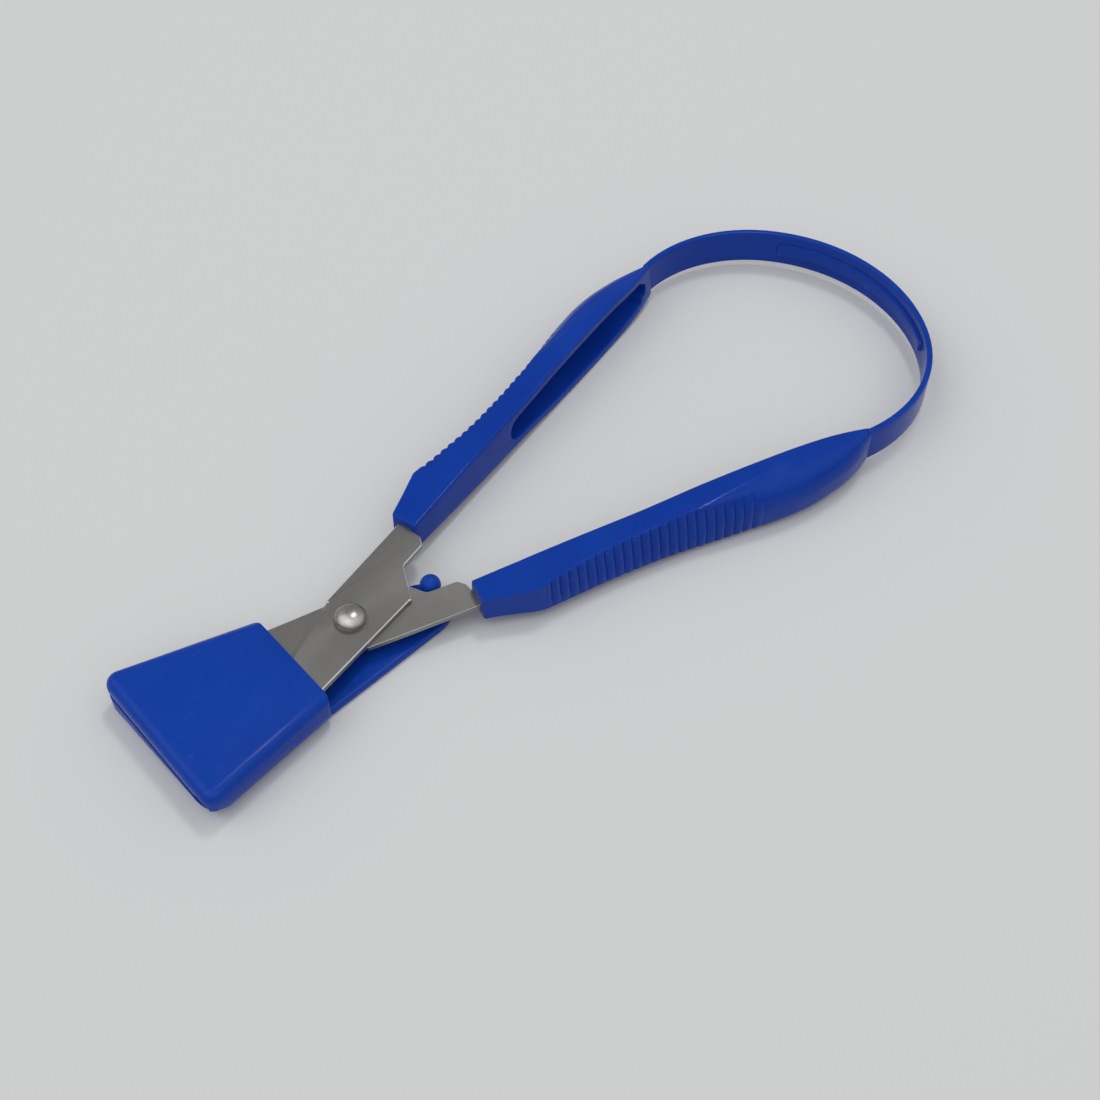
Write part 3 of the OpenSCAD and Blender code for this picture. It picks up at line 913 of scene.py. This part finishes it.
def make_guard():
    """The guard as one moulding: sleeve, fold, bottom plate, tongue and stud."""
    guard = guard_shell()
    # The hull's rear end is cut off at the mouth, and the pocket is two cuts, over and beside the fold.
    mouth = prism("mouth", mouth_cutter(), TABLE_Z - PAST, GUARD_TOP + PAST)
    combine(guard, mouth, "DIFFERENCE")
    points, faces = plate(tongue_outline(), edge_profile(TABLE_Z, PLATE_TOP, LOW_ROUND, 0.5, 5))
    combine(guard, solid("tongue", placed(points), faces, GUARD_BLUE), "UNION")
    for fold_in, low, high in ((FOLD_SOLID, PLATE_TOP, FOLD_TOP),
                               (SIDE_WALL, FOLD_TOP - 0.01, GUARD_TOP - ROOF)):
        combine(guard, prism("pocket", pocket_outline(fold_in), low, high), "DIFFERENCE")
    combine(guard, prism("slot", slot_outline(), SLOT_LOW, SLOT_TOP), "DIFFERENCE")
    combine(guard, hole_cutter(), "DIFFERENCE")
    points, faces = lathe(stud_profile(), STUD, 48)
    combine(guard, solid("stud", placed(points), faces, GUARD_BLUE), "UNION")
    soften = guard.modifiers.new("soften", "BEVEL")
    soften.width = SOFTEN * MM
    soften.segments = 2
    soften.limit_method = "ANGLE"
    soften.angle_limit = math.radians(38)
    bake(guard)
    finish_mesh(guard, GUARD_BLUE, 30)
    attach(guard, "guard")
    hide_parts("guard_sleeve", "guard_tongue")


# ---- Stage

def make_floor():
    """A pale floor with a slightly uneven surface, a hair below the part."""
    mesh = bpy.data.meshes.new("floor")
    edge = 3.0
    corners = [(-edge, -edge, 0), (edge, -edge, 0), (edge, edge, 0), (-edge, edge, 0)]
    mesh.from_pydata(corners, [], [(0, 1, 2, 3)])
    mesh.materials.append(paper("floor_look"))
    made = bpy.data.objects.new("floor", mesh)
    made.location = (0, 0, cad_low.z - 0.0001)
    bpy.context.scene.collection.objects.link(made)


def area_light(name, azimuth, elevation, distance, size, watts, colour):
    """A soft square light that faces the object from azimuth and elevation, in degrees."""
    data = bpy.data.lights.new(name, "AREA")
    data.shape = "RECTANGLE"
    data.size, data.size_y = size
    data.energy = watts
    data.color = colour
    a, e = math.radians(azimuth), math.radians(elevation)
    toward = Vector((math.cos(e) * math.cos(a), math.cos(e) * math.sin(a), math.sin(e)))
    made = bpy.data.objects.new(name, data)
    made.location = toward * distance
    made.rotation_euler = toward.to_track_quat("Z", "Y").to_euler()
    bpy.context.scene.collection.objects.link(made)


def make_camera():
    """The photo's viewpoint: from the guard's end, a little over 50 degrees down."""
    data = bpy.data.cameras.new("camera")
    data.lens = 52.17
    data.sensor_width = 36.0
    forward = Vector((0.408, 0.466, -0.785)).normalized()
    up = Vector((0.516, 0.592, 0.619))
    right = forward.cross(up).normalized()
    up = right.cross(forward)
    made = bpy.data.objects.new("camera", data)
    turn = Matrix((right, up, -forward)).transposed().to_4x4()
    made.matrix_world = Matrix.Translation((-0.1466, -0.1654, 0.2647)) @ turn
    bpy.context.scene.collection.objects.link(made)
    bpy.context.scene.camera = made


def make_world():
    """A pale studio, brighter overhead, with a dim patch high up that keeps flat tops from glaring."""
    world = bpy.data.worlds.new("studio")
    world.use_nodes = True
    tree = world.node_tree
    way = add(tree, "ShaderNodeTexCoord").outputs["Generated"]
    unit = add(tree, "ShaderNodeVectorMath", {"operation": "NORMALIZE"}, Vector=way)
    patch = add(tree, "ShaderNodeVectorMath", {"operation": "DOT_PRODUCT"})
    tree.links.new(unit.outputs["Vector"], patch.inputs[0])
    patch.inputs[1].default_value = (0.44, 0.46, 0.77)
    rise = add(tree, "ShaderNodeSeparateXYZ", Vector=unit.outputs["Vector"]).outputs["Z"]
    level, overhead, dim = (0.12, 0.122, 0.127, 1), (1.12, 1.125, 1.14, 1), (0.25, 0.255, 0.265, 1)
    sky = mix(tree, remap(tree, rise, 0.0, 1.0, 0.0, 1.0), level, overhead)
    share = remap(tree, patch.outputs["Value"], 0.66, 0.95, 0.0, 1.0)
    colour = mix(tree, share, sky, dim)
    back = tree.nodes["Background"]
    tree.links.new(colour, back.inputs["Color"])
    back.inputs["Strength"].default_value = 1.0
    bpy.context.scene.world = world
    bpy.context.scene.view_settings.view_transform = "Standard"


make_camera()
make_world()
make_floor()
area_light("key", 150, 55, 1.4, (1.2, 1.2), 2.3, (1, 0.99, 0.97))
area_light("fill", 215, 60, 1.5, (0.9, 0.9), 1.2, (1, 1, 1))
area_light("top", 20, 70, 1.2, (0.2, 0.2), 2.4, (1, 1, 1))
make_handle("handle_upper", UPPER, "upper_half", "upper_handle")
make_handle("handle_lower", LOWER, "lower_half", "lower_handle")
make_strap("strap_upper", UPPER)
make_strap("strap_lower", LOWER)
make_blade("blade_upper", UPPER, "upper_half", "upper_blade")
make_blade("blade_lower", LOWER, "lower_half", "lower_blade")
make_rivet()
make_guard()
